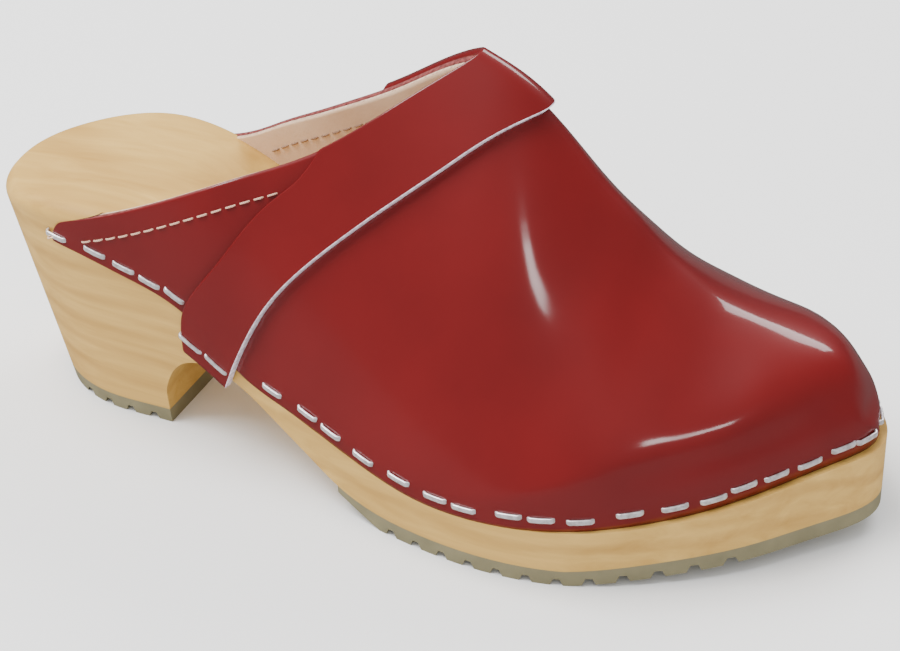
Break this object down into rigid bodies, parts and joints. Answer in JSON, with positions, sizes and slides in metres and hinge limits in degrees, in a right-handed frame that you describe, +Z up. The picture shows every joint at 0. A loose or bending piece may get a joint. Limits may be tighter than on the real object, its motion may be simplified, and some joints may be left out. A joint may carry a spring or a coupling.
{
  "type": "wooden clog",
  "caption": "Backless right-foot clog: carved wooden sole and heel on ribbed rubber treads, glossy red leather upper stapled round its edge, with a stapled strap over the instep.",
  "frame": {"origin": "on the floor, under the middle of the clog's length and width", "axes": "+X towards the toe, +Y towards the inner (big toe) side, +Z up"},
  "size_m": [0.259, 0.1039, 0.1209],
  "materials": {
    "wood": "bare sanded pale alder, long grain along the sole",
    "tread_rubber": "matt khaki-grey moulded rubber",
    "nail_steel": "plain steel wire nails",
    "patent_leather": "red leather under a thick clear gloss coat, raw pale cut edge on the strap",
    "lining_leather": "natural undyed leather, fine nap",
    "puff_board": "stiffened toe puff cloth, hidden",
    "staple_steel": "bright flat-wire staples",
    "thread": "pale waxed sewing thread"
  },
  "bodies": {
    "root": {"wooden_sole": "wood", "heel_tread": "tread_rubber", "forefoot_tread": "tread_rubber", "heel_tread_nails": "nail_steel", "forefoot_tread_nails": "nail_steel", "vamp": "patent_leather", "vamp_lining": "lining_leather", "toe_puff": "puff_board", "instep_strap": "patent_leather", "outer_side_staples": "staple_steel", "inner_side_staples": "staple_steel", "strap_staples": "staple_steel", "outer_side_stitching": "thread", "inner_side_stitching": "thread"}
  },
  "joints": []
}
